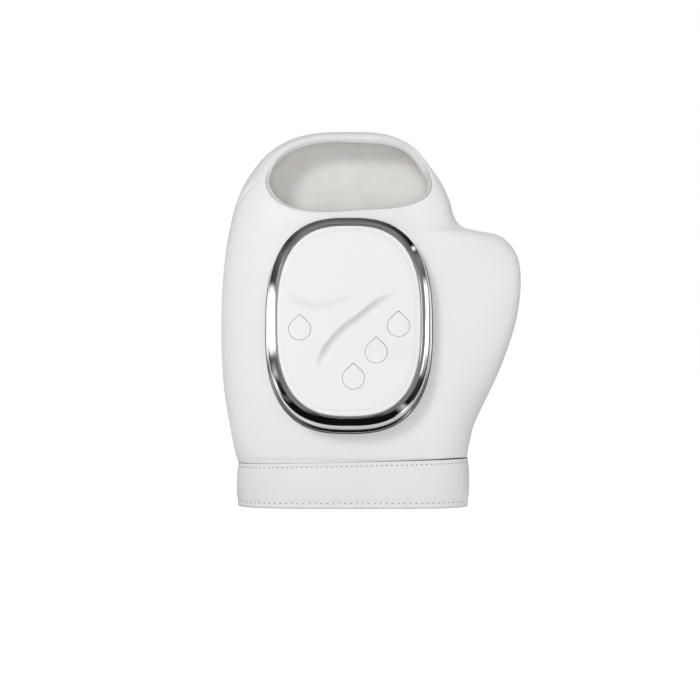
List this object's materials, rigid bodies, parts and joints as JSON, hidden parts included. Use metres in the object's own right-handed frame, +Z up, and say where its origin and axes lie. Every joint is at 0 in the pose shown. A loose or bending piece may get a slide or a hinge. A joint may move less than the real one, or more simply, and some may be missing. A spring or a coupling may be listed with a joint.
{
  "type": "hand massager",
  "caption": "Mitten-shaped padded hand massager with an oval fingertip opening, a wrist cuff and a domed control module in a bright ring on the back of the hand.",
  "frame": {"origin": "middle of the width and the depth, on the plane that the wrist cuff stands on", "axes": "+Z up to the fingertips, -Y out of the back of the hand where the control module is, +X to the thumb"},
  "size_m": [0.2014, 0.1272, 0.2499],
  "materials": {
    "white_leather": "smooth white imitation leather with a soft sheen",
    "grey_lining": "matte light grey knitted lining",
    "foam": "matte open-cell foam",
    "air_bag": "satin welded film",
    "heating_film": "matte film",
    "rubber_hose": "satin",
    "white_plastic": "satin white moulding",
    "chrome": "mirror bright plating on a moulding",
    "case_plastic": "fine texture",
    "steel": "plain drawn steel",
    "circuit_board": "green solder mask",
    "black_plastic": "matte black",
    "battery_sleeve": "plain shrink sleeve",
    "copper": "varnished winding",
    "brass": "turned",
    "silicone": "matte moulded rubber"
  },
  "bodies": {
    "massager": {"back_airbag": "air_bag", "back_heating_pad": "heating_film", "back_hose": "rubber_hose", "battery_cell": "battery_sleeve", "battery_cradle": "case_plastic", "case_screw_1": "steel", "case_screw_2": "steel", "case_screw_3": "steel", "case_screw_4": "steel", "charging_socket": "steel", "chrome_bezel": "chrome", "controller_chip": "black_plastic", "cuff_band": "white_leather", "cuff_foam": "foam", "face_panel": "white_plastic", "front_foam": "foam", "front_leather": "white_leather", "heat_switch": "black_plastic", "lining": "grey_lining", "link_hose": "rubber_hose", "lower_case": "case_plastic", "main_board": "circuit_board", "mode_switch": "black_plastic", "mount_screw_1": "steel", "mount_screw_2": "steel", "mount_screw_3": "steel", "mount_screw_4": "steel", "mounting_ring": "case_plastic", "opening_hem": "white_leather", "palm_airbag": "air_bag", "palm_heating_pad": "heating_film", "power_switch": "black_plastic", "pressure_switch": "black_plastic", "pump_cradle": "case_plastic", "pump_diaphragm": "silicone", "pump_end_plate": "steel", "pump_head": "black_plastic", "pump_hose": "rubber_hose", "pump_motor_can": "steel", "pump_yoke": "black_plastic", "rear_foam": "foam", "rear_leather": "white_leather", "thumb_airbag": "air_bag", "upper_case": "case_plastic", "valve_coil": "copper", "valve_frame": "steel", "valve_spring": "steel", "vibration_bracket": "case_plastic", "vibration_motor": "steel"},
    "power_key": {"power_button": "white_plastic", "power_plunger": "silicone"},
    "heat_key": {"heat_button": "white_plastic", "heat_plunger": "silicone"},
    "pressure_key": {"pressure_button": "white_plastic", "pressure_plunger": "silicone"},
    "mode_key": {"mode_button": "white_plastic", "mode_plunger": "silicone"},
    "pump_shaft": {"pump_rotor": "copper"},
    "vibration_shaft": {"vibration_weight": "brass"},
    "valve_core": {"valve_plunger": "steel"}
  },
  "joints": [
    {"name": "power_press", "type": "slide", "parent": "massager", "child": "power_key", "axis": [0, 0.9863, -0.165], "range_m": [0, 0.0004], "stiffness_N_per_m": 1500},
    {"name": "heat_press", "type": "slide", "parent": "massager", "child": "heat_key", "axis": [0, 0.9863, -0.165], "range_m": [0, 0.0004], "stiffness_N_per_m": 1500},
    {"name": "pressure_press", "type": "slide", "parent": "massager", "child": "pressure_key", "axis": [0, 0.9863, -0.165], "range_m": [0, 0.0004], "stiffness_N_per_m": 1500},
    {"name": "mode_press", "type": "slide", "parent": "massager", "child": "mode_key", "axis": [0, 0.9863, -0.165], "range_m": [0, 0.0004], "stiffness_N_per_m": 1500},
    {"name": "pump_spin", "type": "hinge", "parent": "massager", "child": "pump_shaft", "pos_m": [0.00479, -0.03801, 0.09075], "axis": [0, 0.165, 0.9863], "continuous": true},
    {"name": "vibration_spin", "type": "hinge", "parent": "massager", "child": "vibration_shaft", "pos_m": [-0.01881, -0.03432, 0.07644], "axis": [1, 0, 0], "continuous": true},
    {"name": "valve_stroke", "type": "slide", "parent": "massager", "child": "valve_core", "axis": [-1, 0, 0], "range_m": [0, 0.0008], "stiffness_N_per_m": 120, "deforming": ["valve_spring"]}
  ]
}
